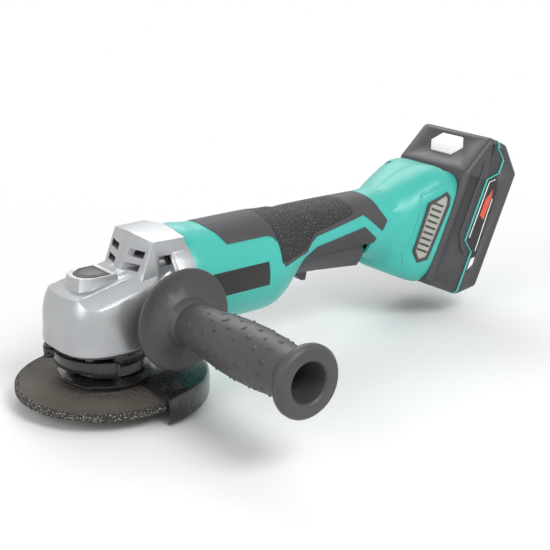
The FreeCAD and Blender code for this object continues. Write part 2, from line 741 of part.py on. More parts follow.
def make_rotor_magnets():
    body = ring(rotor_r, rotor_r - magnet_t, stator_x1 - stator_x0 - 1, on_axis(stator_x0 + 0.5), X_AXIS)
    slits = [turned(block(stator_x0 - 1, stator_x1 + 1, -0.5, 0.5, axis_z, axis_z + 20), 90 * k, X_AXIS,
                    (0, 0, axis_z)) for k in range(4)]
    return cut(body, slits)


def make_fan():
    """Radial fan: hub, back plate and blades."""
    hub = ring(9.0, shaft_r, fan_x1 - fan_x0, on_axis(fan_x0), X_AXIS)
    plate = ring(fan_r, shaft_r, 1.6, on_axis(fan_x0), X_AXIS)
    blade = block(fan_x0 + 1, fan_x1, -0.8, 0.8, axis_z + 8.5, axis_z + fan_r - 0.6)
    blade = turned(blade, 28, X_AXIS, (0, 0, axis_z + 16))
    return fuse([hub, plate] + [turned(blade, 360.0 / 11 * k, X_AXIS, (0, 0, axis_z)) for k in range(11)])


def make_stator():
    """Stator ring with six teeth."""
    length = stator_x1 - stator_x0
    back = ring(stator_r, stator_r - 4.0, length, on_axis(stator_x0), X_AXIS)
    shoe = ring(stator_bore + 2.2, stator_bore, length, on_axis(stator_x0), X_AXIS)
    slots = [turned(block(stator_x0 - 1, stator_x1 + 1, -1.4, 1.4, axis_z, axis_z + 18.0), 60 * k + 30,
                    X_AXIS, (0, 0, axis_z)) for k in range(6)]
    teeth = [turned(block(stator_x0, stator_x1, -3.0, 3.0, axis_z + stator_bore + 1, axis_z + stator_r - 2),
                    60 * k, X_AXIS, (0, 0, axis_z)) for k in range(6)]
    return fuse([back, cut(shoe, slots)] + teeth)


def make_windings():
    """Six coils with their end turns, one round each tooth."""
    x0, x1 = stator_x0 - winding_over, stator_x1 + winding_over
    shapes = []
    for k in range(6):
        coil_block = block(x0, x1, -5.6, 5.6, axis_z + stator_bore + 2.4, axis_z + stator_r - 5.0)
        core = block(stator_x0, stator_x1, -3.0, 3.0, axis_z, axis_z + stator_r)
        shapes.append(turned(coil_block.cut(core), 60 * k, X_AXIS, (0, 0, axis_z)))
    return Part.Compound(shapes)


def make_sensor_board():
    return ring(stator_r - 2.0, shaft_r + 6.0, 1.6, on_axis(stator_x1 + winding_over), X_AXIS)


def make_baffle():
    """Ring that leads the air from the stator to the fan."""
    return ring(33.6, 22.0, 1.6, on_axis(stator_x0 - 3.6), X_AXIS)


# ---------------------------------------------------------------- housing

def skin_stations():
    """Sections of the outer skin, front to back: centre x, centre z, lean, half width, half height, power."""
    grip_z, grip_h = (grip_top + grip_low) / 2, (grip_top - grip_low) / 2
    foot_u, foot_h = (foot_low + foot_high) / 2, (foot_high - foot_low) / 2
    barrel = [
        (joint_x, axis_z, 0, joint_r, joint_r, 2.0),
        (joint_x + 7, axis_z, 0, barrel_r + 1.9, barrel_r + 1.9, 2.0),
        (joint_x + 16, axis_z, 0, barrel_r + 0.5, barrel_r + 0.5, 2.0),
        (joint_x + 26, axis_z, 0, barrel_r, barrel_r, 2.0),
        (seam_x - 10, axis_z, 0, barrel_r, barrel_r, 2.0),
        (seam_x, axis_z + 0.2, 0, barrel_r - 0.3, barrel_r - 0.3, 2.0),
        (seam_x + 9, axis_z + 1.5, 0, barrel_r - 3.4, barrel_r - 2.4, 2.05),
        (seam_x + 18, axis_z + 5.2, 0, grip_half_w + 3.6, grip_h + 8.2, 2.1),
        (seam_x + 26, grip_z - 2.7, 0, grip_half_w + 1.2, grip_h + 2.2, 2.15),
        (seam_x + 34, grip_z, 0, grip_half_w + 0.1, grip_h, 2.2),
    ]
    grip = [
        (seam_x + 59, grip_z - 0.2, 0, grip_half_w, grip_h, 2.3),
        (seam_x + 80, grip_z - 0.5, 0, grip_half_w, grip_h, 2.3),
    ]
    foot = [
        (*lean_point(foot_face - 42.5, foot_u - 13.0), 10, grip_half_w + 1.5, 27.0, 2.4),
        (*lean_point(foot_face - 36, foot_u - 9.0), 19, grip_half_w + 5.0, 33.0, 2.7),
        (*lean_point(foot_face - 28, foot_u - 4.5), lean, foot_half_w - 2.6, foot_h - 5.2, 3.2),
        (*lean_point(foot_face - 19, foot_u - 1.0), lean, foot_half_w - 0.6, foot_h - 1.2, 4.2),
        (*lean_point(foot_face - 10, foot_u), lean, foot_half_w, foot_h, 5.0),
        (*lean_point(foot_face, foot_u), lean, foot_half_w, foot_h, 5.0),
    ]
    return barrel + grip + foot


def tangents(keys):
    """Slopes of a curve through the keys that never overshoots them."""
    steps = [[b - a for a, b in zip(p, q)] for p, q in zip(keys, keys[1:])]
    inner = [[2 * a * b / (a + b) if a * b > 0 else 0.0 for a, b in zip(p, q)]
             for p, q in zip(steps, steps[1:])]
    return steps[:1] + inner + steps[-1:]


def skin_sections():
    """Closely spaced sections of the skin, blended between the stations."""
    keys = skin_stations()
    slopes = tangents(keys)
    sections = [keys[0]]
    for a, b, sa, sb in zip(keys, keys[1:], slopes, slopes[1:]):
        for t in (0.5, 1.0):
            rise, leave, arrive = 3 * t ** 2 - 2 * t ** 3, t ** 3 - 2 * t ** 2 + t, t ** 3 - t ** 2
            sections.append([(1 - rise) * p + leave * u + rise * q + arrive * v
                             for p, u, q, v in zip(a, sa, b, sb)])
    return sections


def skin(grow=0.0):
    """The outer form of the housing as one solid, grown or shrunk."""
    return Part.makeLoft([oval(*section, grow=grow) for section in skin_sections()], True, True)


def top_pad_outline():
    return [(67.0, 110.0), (73.0, 92.0), (77.3, 87.5), (79.2, 84.0), (80.6, 81.0), (114.5, 81.0),
            (118.5, 79.6), (seam_x - GAP / 2, 76.0), (seam_x - GAP / 2, 110.0)]


def rear_pad_outline():
    return [(seam_x + GAP / 2, 110.0), (seam_x + GAP / 2, 62.5), (125.0, 58.6), (151.0, 61.5), (154.5, 67.6),
            (159.5, 71.8), (206.0, 79.3), (222.0, 64.8), (227.0, 72.0), (222.5, 80.0), (220.5, 88.0),
            (216.0, 110.0)]


def under_pad_outline():
    """Fixed dark cover above the paddle."""
    return [(147.5, 40.0), (148.5, 55.0), (160.0, 63.6), (205.5, 70.6), (217.0, 59.6), (214.5, 56.4),
            (213.0, 56.4), (213.0, 40.0)]


def paddle_opening():
    """Lower opening of the housing for the paddle."""
    low = block(159.0, 213.0, -FAR, FAR, 0, 56.4)
    slot = block(142.6, 213.0, -paddle_half_w - 1.0, paddle_half_w + 1.0, 0, 57.0)
    return low.fuse(slot)


def post_spots():
    """Screw posts that join the housing halves."""
    return [(126.5, 29.5), (126.5, 82.0), (156.0, 82.0), (212.0, 81.0), lean_point(201.0, 131.5),
            lean_point(204.5, 204.0)]


def head_seats():
    """Distance from the middle plane to the seat of each housing screw's head."""
    form, seats = skin(), []
    for x, z in post_spots():
        reach = [Part.makeLine(V(x, 0, z + d), V(x, 90, z + d)).common(form).BoundBox.YMax for d in (-3, 3)]
        seats.append(min(reach) - 3.4)
    return seats


def window_outline(grow=0.0):
    """Side vent of the foot in the upright frame: (normal, height up the slide)."""
    points = [(203.2, 145.9), (211.4, 139.1), (220.8, 143.8), (223.5, 188.3), (221.1, 194.9), (215.8, 197.1),
              (201.9, 184.0)]
    return inset(points, -grow)


def window_form(side, y0, y1, grow=0.0):
    low, high = sorted((side * y0, side * y1))
    return leaned(side_prism(window_outline(grow), low, high))


def label_form(side, grow=0.0):
    """Plate on the barrel side, or the recess for it when grown."""
    body = ring(barrel_r + 0.25 + 3 * grow, barrel_r - 0.7, 47.0 + 2 * grow, on_axis(62.6 - grow), X_AXIS)
    wedge = [(0, 0), (-80, 80 * math.tan(rad(15))), (-80, -80 * math.tan(rad(12)))]
    face = Part.Face(Part.makePolygon([V(50, y, axis_z + z) for y, z in wedge + wedge[:1]]))
    form = body.common(face.extrude(V(80, 0, 0)))
    return form if side < 0 else form.mirror(V(0, 0, 0), Y_AXIS)


def housing_ribs():
    """Inner ribs that carry the stator, the rear bearing and the front screws."""
    ribs = [
        ring(60, stator_r, 5.0, on_axis(stator_x0 - 2.0), X_AXIS),
        ring(60, stator_r, 4.0, on_axis(stator_x1 - 5.0), X_AXIS),
        ring(60, small_bearing_r, small_bearing_w, on_axis(rear_bearing_x), X_AXIS),
    ]
    air = [cyl(3.6, 70, (stator_x0 - 5, *ear_spot(0, a + 45, 29.5)[1:]), X_AXIS) for a in ear_angles()]
    air += [cyl(5.0, 30, (rear_bearing_x - 5, *ear_spot(0, a, 21.0)[1:]), X_AXIS) for a in range(0, 360, 60)]
    ribs = [cut(r, air) for r in ribs]
    bosses = [cyl(post_r, 12.0, ear_spot(joint_x, a), X_AXIS) for a in ear_angles()]
    posts = [cyl(post_r, 2 * foot_half_w + 10, (x, -foot_half_w - 5, z), Y_AXIS) for x, z in post_spots()]
    return ribs + bosses + posts


def make_housing_pieces():
    """Both housing halves, the soft pads and the label plates."""
    outer = skin()
    opening = paddle_opening()
    screws = screw_holes()
    shell = outer.cut(skin(-wall)).multiFuse([r.common(outer) for r in housing_ribs()])
    pad_ring = skin(pad_proud).cut(skin(-pad_t))
    outlines = {"top_pad": top_pad_outline(), "rear_pad": rear_pad_outline(), "under_pad": under_pad_outline()}
    pads = {name: pad_ring.common(side_prism(outline, -FAR, FAR)).cut(opening)
            for name, outline in outlines.items()}
    front = block(-FAR, joint_x, -FAR, FAR, -FAR, FAR)
    back = leaned(block(foot_face, FAR, -FAR, FAR, -FAR, FAR))
    tools = [opening, rail_slot(), front, back, pivot_bore(FIT)] + screws + list(pads.values())
    tools += [cyl(case_screw_r, 14.0, ear_spot(joint_x - SKIM, a), X_AXIS) for a in ear_angles()]
    tools += [window_form(s, 30.0, 60.0) for s in (-1, 1)]
    tools += [label_form(s, 0.3) for s in (-1, 1)]
    shell = cut(shell, tools)
    pieces = {"housing_left": half(shell, -1), "housing_right": half(shell, 1)}
    for name, pad in pads.items():
        open_pad = cut(pad, screws + [pivot_bore(GAP)])
        pieces[name] = Part.Compound([half(open_pad, s) for s in (-1, 1)])
    pieces["label_plates"] = Part.Compound([label_form(s) for s in (-1, 1)])
    return pieces


def screw_holes():
    """Pilot holes through the posts, and counterbores for the heads on the right side."""
    tools = []
    for (x, z), y in zip(post_spots(), head_seats()):
        tools.append(cyl(screw_hole_r, 1.55 * y + 1.0, (x, -0.55 * y - 1.0, z), Y_AXIS))
        tools.append(cyl(screw_head_r + 0.3, 40, (x, y, z), Y_AXIS))
    return tools


def pivot_bore(grow):
    """Blind bores for the paddle's pivot stubs, one in each side wall."""
    reach = paddle_half_w + 2.8
    return cyl(pin_r + grow, 2 * reach, (paddle_x, -reach, paddle_z), Y_AXIS)


def rail_slot():
    """Space for the pack's rail, open at the top: a wide slot behind a narrower mouth."""
    low, high = rail_u0 - GAP, 300.0
    lip_n = foot_face - rail_lip
    slot = block(rail_slot_n(), lip_n, -rail_half_w - GAP, rail_half_w + GAP, low, high)
    mouth = block(lip_n - 1, foot_face + 1, -rail_neck_half_w - GAP, rail_neck_half_w + GAP, low, high)
    return leaned(slot.fuse(mouth))


def rail_slot_n():
    return foot_face - rail_depth - GAP


def make_battery_mount():
    """Dark block that closes the foot: an open-topped slot with rail lips for the pack."""
    plug = skin(-wall - SEAT).common(leaned(block(foot_face - mount_depth, foot_face, -FAR, FAR, 0, FAR)))
    posts = [cyl(post_r, 120, (x, -60, z), Y_AXIS) for x, z in post_spots()]
    pocket = leaned(block(rail_slot_n(), foot_face + 1, -terminal_half_w, terminal_half_w,
                          rail_u0 - GAP - terminal_depth, rail_u0))
    vents = [window_form(s, foot_half_w - 3.8, foot_half_w + 5, 0.4) for s in (-1, 1)]
    return cut(plug, [rail_slot(), pocket] + posts + vents)


def blade_rows():
    return (-13.5, -4.5, 4.5, 13.5)


def make_terminal_block():
    low = rail_u0 - GAP - terminal_depth
    return leaned(block(rail_slot_n(), foot_face - 0.5, -terminal_half_w, terminal_half_w, low,
                        low + terminal_depth - 1.0))


def blade_n():
    return foot_face - rail_depth + 4.5


def make_terminal_blades():
    u0 = rail_u0 - GAP - 1.0
    return Part.Compound([leaned(block(blade_n() - 3.0, blade_n() + 3.0, y - blade_t / 2, y + blade_t / 2,
                                       u0, u0 + 14.0)) for y in blade_rows()])


def make_window_frame(side):
    """Dark rim of the foot's side vent."""
    body = window_form(side, foot_half_w - 3.4, foot_half_w + 0.15)
    return body.cut(window_form(side, foot_half_w - 8, foot_half_w + 4, -2.2))


def make_window_mesh(side):
    """Slotted panel inside the rim of the side vent."""
    body = window_form(side, foot_half_w - 2.6, foot_half_w - 0.9, -2.2)
    slots = []
    for k in range(9):
        u = 148.0 + 4.6 * k
        low, high = sorted((side * (foot_half_w - 6), side * (foot_half_w + 4)))
        slots.append(leaned(block(206.5, 218.6, low, high, u, u + 1.8)))
    return cut(body, slots)


def make_paddle():
    """Channel-shaped switch paddle, open towards the handle and narrower below."""
    def section(x, z0, z1, shrink):
        w0, w1 = 12.5 - shrink, paddle_half_w - shrink
        points = [(-w0, z0), (w0, z0), (w1 - 1.2, z0 + 8.5), (w1, z0 + 13.0), (w1, z1), (-w1, z1),
                  (-w1, z0 + 13.0), (1.2 - w1, z0 + 8.5)]
        return [V(x, y, z) for y, z in points]

    def form(shrink, top):
        wires = []
        for x, z in ((143.0 + shrink, 40.0), (152.0, 42.2), (170.0, 41.0), (196.0, 38.4),
                     (209.6 - shrink, 36.9)):
            points = section(x, z + shrink, top, shrink)
            wires.append(Part.makePolygon(points + points[:1]))
        return Part.makeLoft(wires, True, True)

    body = form(0.0, paddle_top).cut(form(paddle_wall, paddle_top + 3))
    nose = side_prism([(140, 30), (141, 37.2), (150.5, 45.0), (150.5, 30)], -FAR, FAR)
    body = body.cut(nose)
    mounts = [block(lockoff_x - 3, lockoff_x + 3, y, y + 2.4, 41.5, lockoff_z + 3.0) for y in (-6.9, 4.5)]
    pusher = block(173.0, 181.0, -4.0, 4.0, 42.0, 50.7)
    stubs = [cyl(pin_r, 2 * (paddle_half_w + 2.6), (paddle_x, -paddle_half_w - 2.6, paddle_z), Y_AXIS)]
    body = fuse([body] + mounts + [pusher] + stubs)
    tools = [cyl(lockoff_pin_r + FIT, 30, (lockoff_x, -15, lockoff_z), Y_AXIS),
             block(151.0, 171.0, -4.1, 4.1, 30, 45.5)]
    return cut(body, tools)


def make_lockoff():
    """Lock-off tongue that swings in the paddle's slot."""
    body = side_prism([(157.0, 49.5), (156.0, 44.5), (155.2, 40.5), (158.5, 36.5), (163.5, 31.9),
                       (167.0, 31.6), (168.2, 36.5), (167.8, 44.0), (163.5, 49.5)], -3.6, 3.6)
    return body.fuse(cyl(lockoff_pin_r, 13.2, (lockoff_x, -6.6, lockoff_z), Y_AXIS))


def make_paddle_spring():
    return coil(3.0, 0.5, 16.2, 6, (191.0, 0, 41.7))


def make_switch():
    """Switch module with its plunger, held in the handle."""
    body = block(164.0, 196.0, -10.0, 10.0, 58.5, 78.0)
    plunger = cyl(3.0, 4.2, (177.0, 0, 54.6))
    tab = block(164.0, 168.0, -24.2, 24.2, 62.0, 74.0)
    return fuse([body, plunger, tab]).common(skin(-wall - SEAT))


def make_controller():
    """Potted electronics block across the foot, with cooling slots."""
    tray = leaned(block(178.0, 197.0, -35.0, 35.0, 146.0, 186.0)).common(skin(-wall - SEAT))
    fins = [leaned(block(185.0, 200.0, y - 1.2, y + 1.2, 140.0, 190.0)) for y in range(-20, 21, 8)]
    return cut(tray, fins)


def make_housing_screws():
    """Screws through the posts, with their heads on the right side."""
    shapes = []
    for (x, z), y in zip(post_spots(), head_seats()):
        tip = 0.55 * y
        shank = cyl(screw_hole_r, y + tip, (x, -tip, z), Y_AXIS)
        shapes.append(shank.fuse(cyl(screw_head_r, 2.0, (x, y, z), Y_AXIS)))
    return Part.Compound(shapes)


# ---------------------------------------------------------------- battery, made upright

def pack_outline():
    """Side view of the pack: (normal, height up the slide)."""
    n0 = foot_face + GAP + 0.2
    return [(n0, pack_low), (pack_back - 17.8, pack_low), (pack_back, pack_low + 11.0),
            (pack_back, pack_high - 17.0), (pack_back - 22.4, pack_high), (n0 + 14.2, pack_high), (n0, 217.0)]


def pack_form(shrink=0.0):
    body = side_prism(inset(pack_outline(), shrink), -pack_half_w + shrink, pack_half_w - shrink)
    r = 4.5 - shrink
    return body.makeFillet(r, body.Edges) if r > 0.5 else body


def trim_path():
    """Line between the two shells: (normal, height up the slide)."""
    return [(262.5, 100.0), (262.5, 161.0), (251.4, 167.5), (251.4, 218.0), (261.5, 226.0), (261.5, 237.0),
            (251.0, 243.5), (251.0, 270.0)]


def trim_band(width):
    path = trim_path()
    front = [(n - width / 2, u) for n, u in path]
    back = [(n + width / 2, u) for n, u in path]
    return side_prism(front + back[::-1], -FAR, FAR)


def trim_side(back):
    """Everything in front of or behind the line between the shells."""
    path = trim_path()
    n = FAR if back else 0.0
    return side_prism(path + [(n, path[-1][1]), (n, path[0][1])], -FAR, FAR)


def button_frame():
    """Centre, slope direction and outward normal of the release button's face."""
    (n1, u1), (n0, u0) = pack_outline()[-2], pack_outline()[-1]
    length = math.hypot(n1 - n0, u1 - u0)
    along = ((n1 - n0) / length, (u1 - u0) / length)
    centre = (n0 + (n1 - n0) * 0.58, u0 + (u1 - u0) * 0.58)
    return centre, along, (-along[1], along[0])


def button_solid(depth, rise, grow=0.0):
    """Hexagonal prism on the sloped face, from depth below it to rise above it."""
    (cn, cu), (an, au), (nn, nu) = button_frame()
    w, h = 17.5 + grow, 9.0 + grow
    corners = [(-w, 0), (-w * 0.62, h), (w * 0.62, h), (w, 0), (w * 0.62, -h), (-w * 0.62, -h)]
    points = [V(cn + an * s - nn * depth, y, cu + au * s - nu * depth) for y, s in corners]
    face = Part.Face(Part.makePolygon(points + points[:1]))
    return face.extrude(V(nn * (depth + rise), 0, nu * (depth + rise)))


def rail_form():
    lip_n = foot_face - rail_lip
    neck = block(lip_n - 0.5, foot_face + 3, -rail_neck_half_w, rail_neck_half_w, rail_u0, rail_u1)
    head = block(foot_face - rail_depth, lip_n - GAP, -rail_half_w, rail_half_w, rail_u0, rail_u1)
    return neck.fuse(head)


def cell_spots():
    rows = (pack_back - 12.6 - cell_pitch, pack_back - 12.6)
    return [(n, pack_low + 20.7 + cell_pitch * k) for n in rows for k in range(5)]


def make_pack_pieces():
    """Everything that slides off with the battery, still upright."""
    outer, inner = pack_form(), pack_form(pack_wall)
    shell = outer.cut(inner).fuse(rail_form())
    slots = [block(foot_face - rail_depth - 1, foot_face + 4, y - 2.3, y + 2.3, rail_u0 - 1, rail_u0 + 19)
             for y in blade_rows()]
    well = button_solid(button_well, 5.0, GAP)
    seat = button_solid(button_well + 1.6, -1.0, 2.4).cut(button_solid(button_well, 1.0, GAP)).common(outer)
    shell = shell.fuse(seat)
    band = trim_band(1.8)
    trim = pack_form(-0.35).cut(pack_form(1.3)).common(band)
    side_panel = [(252.8, 169.0), (252.8, 217.5), (260.0, 222.8), (266.5, 214.0), (269.5, 152.0),
                  (264.4, 144.0), (264.4, 160.6)]
    labels = [side_prism(side_panel, *sorted((s * (pack_half_w - 0.4), s * (pack_half_w + 0.1))))
              for s in (-1, 1)]
    pads = [block(pack_back - 0.5, pack_back + 0.6, y0, y1, u0, u1)
            for y0, y1 in ((-33.0, -12.0), (12.0, 33.0)) for u0, u1 in ((143.0, 183.0), (195.0, 229.0))]
    shell = cut(shell, slots + [well, trim] + labels + pads)
    pieces = {
        "battery_front_shell": shell.common(trim_side(False)),
        "battery_rear_shell": shell.common(trim_side(True)),
        "battery_trim": trim,
        "battery_labels": Part.Compound(labels),
        "battery_pads": Part.Compound(pads),
    }
    cells = [cyl(cell_r, cell_l, (n, -cell_l / 2, u), Y_AXIS) for n, u in cell_spots()]
    pieces["cells"] = Part.Compound(cells)
    board_n = cell_spots()[0][0] - cell_r - 3.4
    low, high = pack_low + 9.0, pack_high - 12.0
    combs = []
    for s in (-1, 1):
        y0, y1 = sorted((s * 20.0, s * 27.0))
        comb = inner.common(block(board_n + 1.6, FAR, y0, y1, low, high))
        combs.append(cut(comb, cells))
    pieces["cell_holders"] = Part.Compound(combs)
    strips = []
    for s in (-1, 1):
        y0, y1 = sorted((s * cell_l / 2, s * (cell_l / 2 + 0.3)))
        strips += [block(pack_back - 38.0, pack_back - 7.0, y0, y1, u - 4, u + 4)
                   for n, u in cell_spots()[:5]]
    pieces["cell_strips"] = Part.Compound(strips)
    pieces["battery_board"] = block(board_n, board_n + 1.6, -29.0, 29.0, pack_low + 10, 214.0)
    clips = []
    for y in blade_rows():
        body = block(blade_n() - 3.4, board_n, y - 1.7, y + 1.7, rail_u0 + 1.0, rail_u0 + 16.0)
        slit = blade_t / 2 + 0.1
        clips.append(body.cut(block(0, blade_n() + 4.5, y - slit, y + slit, 0, FAR)))
    pieces["battery_clips"] = Part.Compound(clips)
    pieces["release_button"] = button_solid(button_well - button_room, 0.8)
    (cn, cu), _, (nn, nu) = button_frame()
    wire = 0.4
    spring_at = (cn - nn * (button_well - wire), 0, cu - nu * (button_well - wire))
    pieces["release_spring"] = coil(4.0, wire, button_room - 2 * wire, 2, spring_at, V(nn, 0, nu))
    return {name: leaned(shape) for name, shape in pieces.items()}


# ---------------------------------------------------------------- all pieces

def make_all():
    pieces = {
        "grinding_wheel": make_wheel(), "inner_flange": make_inner_flange(), "clamp_nut": make_clamp_nut(),
        "spindle": make_spindle(), "spindle_spacer": make_spindle_spacer(),
        "crown_gear": make_crown_gear(), "pinion": make_pinion(),
        "spindle_bearing": bearing(seat_r, bearing_r, bearing_w, (0, 0, bearing_low), Z_AXIS),
        "spindle_bush": make_bush(),
        "bearing_box": make_bearing_box(), "bearing_box_screws": make_bearing_box_screws(),
        "gear_case": make_gear_case(), "gear_case_screws": make_gear_case_screws(),
        "lock_button": make_lock_button(), "lock_spring": make_lock_spring(),
        "wheel_guard": make_guard(), "guard_band": make_guard_band(), "clamp_pin": make_clamp_pin(),
        "clamp_lever": make_clamp_lever(), "handle_core": make_handle_core(),
        "handle_sleeve": make_handle_sleeve(), "handle_stud": make_handle_stud(),
        "rotor_shaft": make_rotor_shaft(), "rotor_core": make_rotor_core(),
        "rotor_magnets": make_rotor_magnets(), "cooling_fan": make_fan(), "stator_core": make_stator(),
        "stator_windings": make_windings(), "sensor_board": make_sensor_board(), "air_baffle": make_baffle(),
        "motor_bearings": Part.Compound([bearing(shaft_r, small_bearing_r, small_bearing_w, on_axis(x), X_AXIS)
                                         for x in (front_bearing_x, rear_bearing_x)]),
        "battery_mount": make_battery_mount(), "terminal_block": make_terminal_block(),
        "terminal_blades": make_terminal_blades(), "paddle": make_paddle(),
        "lockoff_lever": make_lockoff(), "paddle_spring": make_paddle_spring(),
        "switch_module": make_switch(), "controller_tray": make_controller(),
        "housing_screws": make_housing_screws(),
    }
    pieces["vent_frames"] = Part.Compound([make_window_frame(s) for s in (-1, 1)])
    pieces["vent_panels"] = Part.Compound([make_window_mesh(s) for s in (-1, 1)])
    pieces.update(make_housing_pieces())
    pieces.update(make_pack_pieces())
    return pieces


if __name__ == "__main__":
    os.makedirs("parts", exist_ok=True)
    for name, shape in make_all().items():
        shape.exportStep("parts/" + name + ".step")
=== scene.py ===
# %% [markdown]
# # A cordless angle grinder
# The tool is shown on a pale table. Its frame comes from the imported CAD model, which already has each
# piece in its place. This lesson gives the pieces their finishes, and replaces those whose CAD shape is
# plainer than the real piece.

import bpy
import json
import math
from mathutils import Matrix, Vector


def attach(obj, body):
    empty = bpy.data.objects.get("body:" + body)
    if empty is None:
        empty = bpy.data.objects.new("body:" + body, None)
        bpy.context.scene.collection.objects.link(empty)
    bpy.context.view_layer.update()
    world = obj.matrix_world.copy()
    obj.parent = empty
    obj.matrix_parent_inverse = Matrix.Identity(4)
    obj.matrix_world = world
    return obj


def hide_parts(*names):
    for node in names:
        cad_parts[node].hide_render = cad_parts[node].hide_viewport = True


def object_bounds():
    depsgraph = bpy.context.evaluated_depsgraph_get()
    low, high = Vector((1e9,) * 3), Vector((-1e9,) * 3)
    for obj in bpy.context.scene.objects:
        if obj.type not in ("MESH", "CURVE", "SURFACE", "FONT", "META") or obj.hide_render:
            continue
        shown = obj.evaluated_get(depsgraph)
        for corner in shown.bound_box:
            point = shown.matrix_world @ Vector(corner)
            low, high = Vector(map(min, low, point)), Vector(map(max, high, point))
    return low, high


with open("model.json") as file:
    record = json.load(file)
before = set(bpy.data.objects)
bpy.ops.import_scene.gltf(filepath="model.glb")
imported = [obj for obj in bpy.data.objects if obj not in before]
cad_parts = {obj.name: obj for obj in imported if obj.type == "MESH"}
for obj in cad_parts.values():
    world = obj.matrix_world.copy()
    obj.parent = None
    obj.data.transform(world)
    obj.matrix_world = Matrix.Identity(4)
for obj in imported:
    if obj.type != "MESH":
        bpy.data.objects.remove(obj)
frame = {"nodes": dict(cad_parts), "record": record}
cad_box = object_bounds()

# %% [markdown]
# ## Camera
# A long lens from the front left, above the tool, shows the head large and the battery further back. The
# direction is given by two angles, and the camera's place by its distance to the wheel seat.

# %% Camera
FILM_WIDTH = 36.0
LENS = 81.44
AZIMUTH, PITCH = math.radians(-37.52), math.radians(18.69)
camera_data = bpy.data.cameras.new("camera")
camera_data.lens = LENS
camera_data.sensor_width = FILM_WIDTH
camera = bpy.data.objects.new("camera", camera_data)
bpy.context.scene.collection.objects.link(camera)
camera.location = (-0.38207, -0.68180, 0.33048)
camera.rotation_euler = (math.pi / 2 - PITCH, 0, AZIMUTH)
bpy.context.scene.camera = camera
print("camera at", tuple(camera.location))

# %% [markdown]
# ## Light and table
# Three large soft lamps and a pale world give even studio light. The table and the world turn white for
# the camera and for reflections, so that the tool keeps a plain background, and the table keeps its shadow.

# %% Light and table
bpy.context.scene.view_settings.view_transform = "Standard"


def add_lamp(name, place, target, size, power):
    data = bpy.data.lights.new(name, "AREA")
    data.shape = "DISK"
    data.size = size
    data.energy = power
    lamp = bpy.data.objects.new(name, data)
    lamp.location = place
    lamp.rotation_euler = (Vector(target) - Vector(place)).to_track_quat("-Z", "Y").to_euler()
    bpy.context.scene.collection.objects.link(lamp)
    return lamp


MIDDLE = (0.14, 0.0, 0.05)
add_lamp("key_lamp", (0.10, -0.95, 0.95), MIDDLE, 0.55, 8.5)
add_lamp("fill_lamp", (-0.95, -0.25, 0.60), MIDDLE, 0.7, 3.2)
add_lamp("back_lamp", (0.55, 0.85, 0.95), MIDDLE, 0.8, 5.0)


def seen_directly(tree):
    """One for rays from the camera, from reflections and through clear pieces, and zero for plain light."""
    path = tree.nodes.new("ShaderNodeLightPath")
    total = path.outputs["Is Camera Ray"]
    for name in ("Is Glossy Ray", "Is Transmission Ray"):
        total = calc(tree, "MAXIMUM", total, path.outputs[name])
    return total


def calc(tree, kind, a, b=0.0):
    """A math node on numbers or sockets."""
    node = tree.nodes.new("ShaderNodeMath")
    node.operation = kind
    for k, value in enumerate((a, b)):
        if isinstance(value, (int, float)):
            node.inputs[k].default_value = value
        else:
            tree.links.new(value, node.inputs[k])
    return node.outputs[0]


def ramp_up(tree, value, low, high):
    """Zero below low, one above high and a smooth step between."""
    node = tree.nodes.new("ShaderNodeMapRange")
    node.interpolation_type = "SMOOTHSTEP"
    node.inputs["From Min"].default_value = low
    node.inputs["From Max"].default_value = high
    tree.links.new(value, node.inputs["Value"])
    return node.outputs["Result"]


def blend_shaders(tree, factor, first, second):
    node = tree.nodes.new("ShaderNodeMixShader")
    tree.links.new(factor, node.inputs[0])
    tree.links.new(first, node.inputs[1])
    tree.links.new(second, node.inputs[2])
    return node.outputs[0]


def background(tree, colour, strength):
    node = tree.nodes.new("ShaderNodeBackground")
    node.inputs["Color"].default_value = (*colour, 1)
    node.inputs["Strength"].default_value = strength
    return node.outputs[0]


world = bpy.data.worlds.new("studio")
bpy.context.scene.world = world
world.use_nodes = True
tree = world.node_tree
tree.nodes.clear()
mixed = blend_shaders(tree, seen_directly(tree), background(tree, (0.98, 0.985, 1.0), 0.52),
                      background(tree, (1, 1, 1), 1.0))
tree.links.new(mixed, tree.nodes.new("ShaderNodeOutputWorld").inputs[0])

TABLE_FADE = (0.22, 0.55)
TABLE_SIZE, TABLE_GAP = 12.0, 0.0005
bpy.ops.object.select_all(action="DESELECT")
bpy.ops.mesh.primitive_plane_add(size=TABLE_SIZE, location=(MIDDLE[0], 0, cad_box[0][2] - TABLE_GAP))
table = bpy.context.object
table.name = "table_top"
table_finish = bpy.data.materials.new("table_white")
table_finish.use_nodes = True
tree = table_finish.node_tree
surface = tree.nodes["Principled BSDF"]
surface.inputs["Base Color"].default_value = (0.95, 0.95, 0.95, 1)
surface.inputs["Roughness"].default_value = 0.9
surface.inputs["Specular IOR Level"].default_value = 0.2
place = tree.nodes.new("ShaderNodeTexCoord")
away = tree.nodes.new("ShaderNodeVectorMath")
away.operation = "LENGTH"
tree.links.new(place.outputs["Object"], away.inputs[0])
glow = tree.nodes.new("ShaderNodeEmission")
glow.inputs["Strength"].default_value = 1.0
far_part = calc(tree, "MULTIPLY", ramp_up(tree, away.outputs["Value"], *TABLE_FADE), seen_directly(tree))
mixed = blend_shaders(tree, far_part, surface.outputs[0], glow.outputs[0])
tree.links.new(mixed, tree.nodes["Material Output"].inputs["Surface"])
table.data.materials.append(table_finish)

# %% [markdown]
# ## Finishes
# Every finish is built from the same few steps: a base colour with a slow cloudy change, a roughness that
# varies a little, and a bump from fine grain. Cast metal has a pebbled bump, moulded plastic a finer one.

